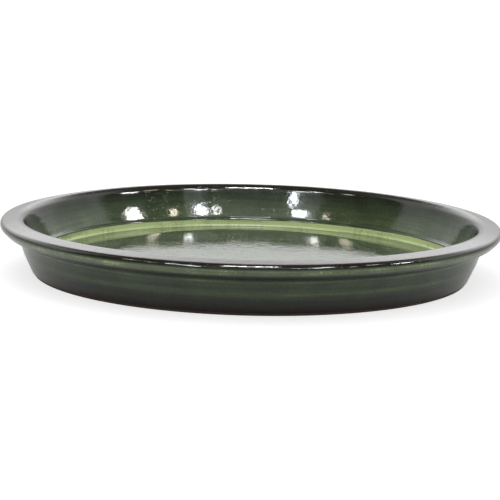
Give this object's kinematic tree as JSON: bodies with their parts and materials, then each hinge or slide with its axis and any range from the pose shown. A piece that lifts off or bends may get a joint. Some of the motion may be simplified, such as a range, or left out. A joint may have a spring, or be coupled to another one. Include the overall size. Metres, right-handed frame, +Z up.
{
  "type": "plant saucer",
  "caption": "Round glazed stoneware saucer with a flat overhanging rim, a raised flat seat for a plant pot in its stepped well and a bare foot ring.",
  "frame": {"origin": "centre of the foot ring, on the surface that the saucer stands on", "axes": "+Z up along the turning axis; the saucer is round, so +X and +Y are any two square directions"},
  "size_m": [0.4, 0.4, 0.0444],
  "materials": {
    "fired_clay": "bare dark brown fired stoneware, matt and slightly gritty",
    "inside_glaze": "glossy dark green glaze, pale yellow-green where it pools at the step, brown-black at the rim",
    "outside_glaze": "glossy dark green glaze, yellow-green on the lower half of the rim face, brown-black on edges"
  },
  "bodies": {
    "root": {"clay_body": "fired_clay", "inside_glaze": "inside_glaze", "outside_glaze": "outside_glaze"}
  },
  "joints": []
}
